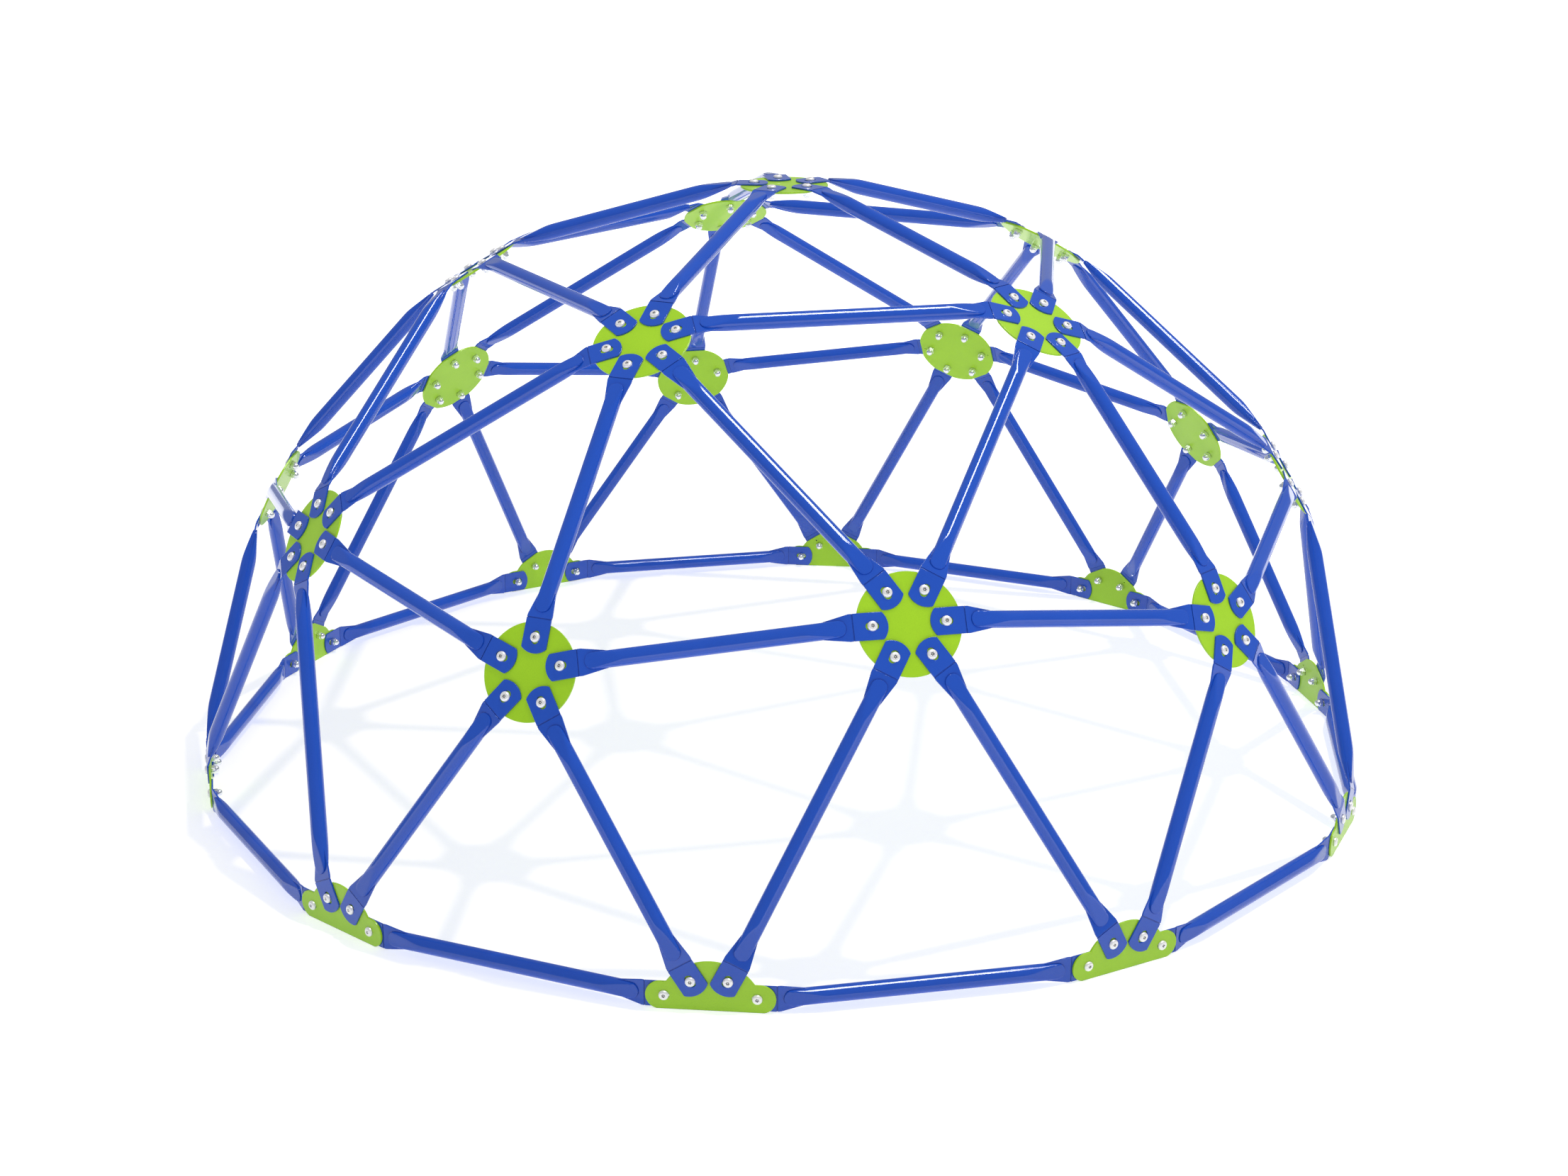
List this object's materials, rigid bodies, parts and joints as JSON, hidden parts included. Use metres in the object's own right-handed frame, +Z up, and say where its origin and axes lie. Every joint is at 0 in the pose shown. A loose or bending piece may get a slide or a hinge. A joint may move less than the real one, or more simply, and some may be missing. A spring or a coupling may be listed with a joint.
{
  "type": "dome climber",
  "caption": "Geodesic dome climber: flattened-end tubes painted blue, bolted through lime-green hub plates with button-head bolts and domed cap nuts",
  "frame": {"origin": "on the ground, under the crown plate's centre", "axes": "+X to the right, -Y the front, where a sloping six-way plate faces the viewer, +Z up"},
  "size_m": [3.0352, 2.9792, 1.5176],
  "materials": {
    "strut_paint": "glossy",
    "plate_paint": "glossy",
    "bolt_zinc": "satin",
    "nut_chrome": "polished"
  },
  "bodies": {
    "root": {"crown_plate": "plate_paint", "upper_plate_1": "plate_paint", "upper_plate_2": "plate_paint", "upper_plate_3": "plate_paint", "upper_plate_4": "plate_paint", "upper_plate_5": "plate_paint", "middle_plate_1": "plate_paint", "middle_plate_2": "plate_paint", "middle_plate_3": "plate_paint", "middle_plate_4": "plate_paint", "middle_plate_5": "plate_paint", "middle_plate_6": "plate_paint", "middle_plate_7": "plate_paint", "middle_plate_8": "plate_paint", "middle_plate_9": "plate_paint", "middle_plate_10": "plate_paint", "base_plate_1": "plate_paint", "base_plate_2": "plate_paint", "base_plate_3": "plate_paint", "base_plate_4": "plate_paint", "base_plate_5": "plate_paint", "base_plate_6": "plate_paint", "base_plate_7": "plate_paint", "base_plate_8": "plate_paint", "base_plate_9": "plate_paint", "base_plate_10": "plate_paint", "crown_strut_1": "strut_paint", "upper_ring_strut_1": "strut_paint", "upper_drop_strut_1": "strut_paint", "upper_side_struts_1": "strut_paint", "short_legs_1": "strut_paint", "long_legs_1": "strut_paint", "crown_strut_2": "strut_paint", "upper_ring_strut_2": "strut_paint", "upper_drop_strut_2": "strut_paint", "upper_side_struts_2": "strut_paint", "short_legs_2": "strut_paint", "long_legs_2": "strut_paint", "crown_strut_3": "strut_paint", "upper_ring_strut_3": "strut_paint", "upper_drop_strut_3": "strut_paint", "upper_side_struts_3": "strut_paint", "short_legs_3": "strut_paint", "long_legs_3": "strut_paint", "crown_strut_4": "strut_paint", "upper_ring_strut_4": "strut_paint", "upper_drop_strut_4": "strut_paint", "upper_side_struts_4": "strut_paint", "short_legs_4": "strut_paint", "long_legs_4": "strut_paint", "crown_strut_5": "strut_paint", "upper_ring_strut_5": "strut_paint", "upper_drop_strut_5": "strut_paint", "upper_side_struts_5": "strut_paint", "short_legs_5": "strut_paint", "long_legs_5": "strut_paint", "middle_ring_struts": "strut_paint", "base_ring_struts": "strut_paint", "bolts": "bolt_zinc", "nuts": "nut_chrome"}
  },
  "joints": []
}
